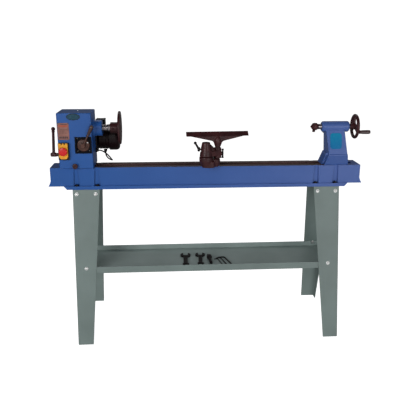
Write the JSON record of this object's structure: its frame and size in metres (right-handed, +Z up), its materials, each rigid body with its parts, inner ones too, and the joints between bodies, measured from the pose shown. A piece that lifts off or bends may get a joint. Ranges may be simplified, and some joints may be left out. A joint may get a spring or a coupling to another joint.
{
  "type": "wood lathe",
  "caption": "Floor-standing wood lathe: swivelling headstock with rear motor and speed lever, slotted bed, swivelling tool rest and tailstock on a splayed sheet-steel stand with a tool tray.",
  "frame": {"origin": "on the floor, under the middle of the whole machine", "axes": "+X along the bed from the headstock to the tailstock, -Y towards the operator, +Z up"},
  "size_m": [1.5314, 0.476, 1.083],
  "materials": {
    "leg_paint": "smooth grey-green stove enamel on folded sheet",
    "blue_paint": "smooth blue enamel on an iron casting, ways left dark",
    "dark_iron": "oiled dark red-brown casting",
    "black_paint": "black satin paint",
    "bright_steel": "turned bright steel",
    "cast_iron": "bare machined iron",
    "black_plastic": "black moulded plastic",
    "yellow_plastic": "yellow moulded plastic",
    "red_plastic": "red moulded plastic",
    "green_plastic": "green moulded plastic",
    "data_plate": "coppery etched plate with no lettering",
    "badge": "plain dark green-blue oval, no lettering",
    "teal_panel": "bright blue-green enamel panel",
    "rubber": "black rubber"
  },
  "bodies": {
    "root": {"bed": "blue_paint", "leg_front_left": "leg_paint", "leg_front_right": "leg_paint", "leg_back_left": "leg_paint", "leg_back_right": "leg_paint", "stand_bracket_left": "leg_paint", "stand_bracket_right": "leg_paint", "shelf_tray": "leg_paint", "wrench_large": "black_paint", "wrench_small": "black_paint", "spur_centre": "black_paint", "headstock_pivot": "cast_iron"},
    "headstock": {"headstock_casting": "blue_paint", "rear_belt_cover": "black_paint", "spindle_bearing_front": "bright_steel", "spindle_bearing_rear": "bright_steel", "motor_plate": "black_paint", "motor_body": "black_paint", "motor_fan_cover": "black_paint", "terminal_box": "black_paint", "drive_belt": "rubber", "speed_plate": "black_paint", "switch_base": "black_plastic", "oval_badge": "badge", "data_plate": "data_plate", "cable_gland_headstock": "black_plastic", "cable_gland_motor": "black_plastic", "motor_cable": "rubber"},
    "spindle": {"spindle": "bright_steel", "spindle_pulley": "cast_iron", "faceplate": "dark_iron"},
    "rotor": {"motor_shaft": "bright_steel", "motor_pulley": "cast_iron"},
    "speed_lever": {"speed_lever": "dark_iron", "speed_lever_grip": "black_plastic"},
    "index_pin": {"index_pin": "dark_iron"},
    "headstock_lock": {"headstock_lock_lever": "dark_iron"},
    "switch_flap": {"switch_flap": "yellow_plastic"},
    "stop_button": {"stop_button": "red_plastic"},
    "start_button": {"start_button": "green_plastic"},
    "banjo_clamp": {"banjo_clamp_bolt": "bright_steel", "banjo_clamp_plate": "cast_iron"},
    "banjo": {"banjo_base": "dark_iron"},
    "rest_arm": {"rest_arm": "dark_iron"},
    "rest_collar": {"rest_collar": "dark_iron"},
    "tool_rest": {"tool_rest": "dark_iron"},
    "arm_lock": {"arm_lock_handle": "black_paint"},
    "post_lock": {"post_lock_handle": "black_paint"},
    "tailstock": {"tailstock_casting": "blue_paint", "tailstock_panel": "teal_panel", "tail_clamp_bolt": "bright_steel", "tail_clamp_plate": "cast_iron"},
    "handwheel": {"handwheel": "dark_iron", "lead_screw": "bright_steel"},
    "wheel_grip": {"handwheel_grip": "black_plastic"},
    "quill": {"quill": "bright_steel", "live_centre_body": "dark_iron"},
    "centre_point": {"live_centre_point": "dark_iron"},
    "quill_lock": {"quill_lock": "black_paint"}
  },
  "joints": [
    {"name": "headstock_swivel", "type": "hinge", "parent": "root", "child": "headstock", "pos_m": [-0.63175, 0, 0.827], "axis": [0, 0, 1], "range_deg": [-180, 0]},
    {"name": "spindle_spin", "type": "hinge", "parent": "headstock", "child": "spindle", "pos_m": [-0.63175, 0, 1.005], "axis": [1, 0, 0], "continuous": true},
    {"name": "motor_spin", "type": "hinge", "parent": "headstock", "child": "rotor", "pos_m": [-0.63175, 0.105, 0.9445], "axis": [1, 0, 0], "continuous": true},
    {"name": "speed_lever_turn", "type": "hinge", "parent": "headstock", "child": "speed_lever", "pos_m": [-0.59025, -0.086, 0.9345], "axis": [0, 1, 0], "range_deg": [-80, 20]},
    {"name": "index_pin_pull", "type": "slide", "parent": "headstock", "child": "index_pin", "axis": [0, -1, 0], "range_m": [0, 0.01], "stiffness_N_per_m": 600, "springref_m": -0.006},
    {"name": "headstock_lock_turn", "type": "hinge", "parent": "headstock", "child": "headstock_lock", "pos_m": [-0.74175, 0, 0.879], "axis": [1, 0, 0], "range_deg": [-60, 30]},
    {"name": "switch_flap_lift", "type": "hinge", "parent": "headstock", "child": "switch_flap", "pos_m": [-0.67925, -0.093, 0.9465], "axis": [-1, 0, 0], "range_deg": [0, 110]},
    {"name": "stop_button_press", "type": "slide", "parent": "switch_flap", "child": "stop_button", "axis": [0, 1, 0], "range_m": [0, 0.004], "stiffness_N_per_m": 500, "springref_m": -0.004},
    {"name": "start_button_press", "type": "slide", "parent": "headstock", "child": "start_button", "axis": [0, 1, 0], "range_m": [0, 0.003], "stiffness_N_per_m": 500, "springref_m": -0.004},
    {"name": "banjo_slide", "type": "slide", "parent": "root", "child": "banjo_clamp", "axis": [1, 0, 0], "range_m": [-0.28, 0.28]},
    {"name": "banjo_reach", "type": "slide", "parent": "banjo_clamp", "child": "banjo", "axis": [0, 1, 0], "range_m": [-0.028, 0.015]},
    {"name": "arm_swivel", "type": "hinge", "parent": "banjo", "child": "rest_arm", "pos_m": [-0.02675, -0.1, 0.912], "axis": [0, 0, 1], "range_deg": [-50, 30]},
    {"name": "rest_swivel", "type": "hinge", "parent": "rest_arm", "child": "rest_collar", "pos_m": [0.02925, -0.075, 0.917], "axis": [0, 0, 1], "range_deg": [-90, 90]},
    {"name": "rest_height", "type": "slide", "parent": "rest_collar", "child": "tool_rest", "axis": [0, 0, 1], "range_m": [-0.004, 0.028]},
    {"name": "arm_lock_turn", "type": "hinge", "parent": "rest_arm", "child": "arm_lock", "pos_m": [-0.05975, -0.1, 0.918], "axis": [1, 0, 0], "range_deg": [-60, 60]},
    {"name": "post_lock_turn", "type": "hinge", "parent": "rest_arm", "child": "post_lock", "pos_m": [0.05325, -0.075, 0.893], "axis": [1, 0, 0], "range_deg": [-90, 90]},
    {"name": "tail_slide", "type": "slide", "parent": "root", "child": "tailstock", "axis": [1, 0, 0], "range_m": [-0.4, 0.04]},
    {"name": "handwheel_turn", "type": "hinge", "parent": "tailstock", "child": "handwheel", "pos_m": [0.70325, 0, 1.005], "axis": [-1, 0, 0], "range_deg": [0, 4320]},
    {"name": "quill_slide", "type": "slide", "parent": "tailstock", "child": "quill", "axis": [-1, 0, 0], "range_m": [0, 0.0605]},
    {"name": "centre_spin", "type": "hinge", "parent": "quill", "child": "centre_point", "pos_m": [0.49225, 0, 1.005], "axis": [1, 0, 0], "continuous": true},
    {"name": "grip_spin", "type": "hinge", "parent": "handwheel", "child": "wheel_grip", "pos_m": [0.73725, -0.04532, 0.98387], "axis": [1, 0, 0], "continuous": true},
    {"name": "quill_lock_turn", "type": "hinge", "parent": "tailstock", "child": "quill_lock", "pos_m": [0.56725, 0.038, 1.005], "axis": [0, 1, 0], "range_deg": [-35, 35]}
  ],
  "couplings": [
    {"joint": "motor_spin", "follows": "spindle_spin", "ratio": 1.5111},
    {"joint": "quill_slide", "follows": "handwheel_turn", "m_per_rad": 0.00079577}
  ]
}
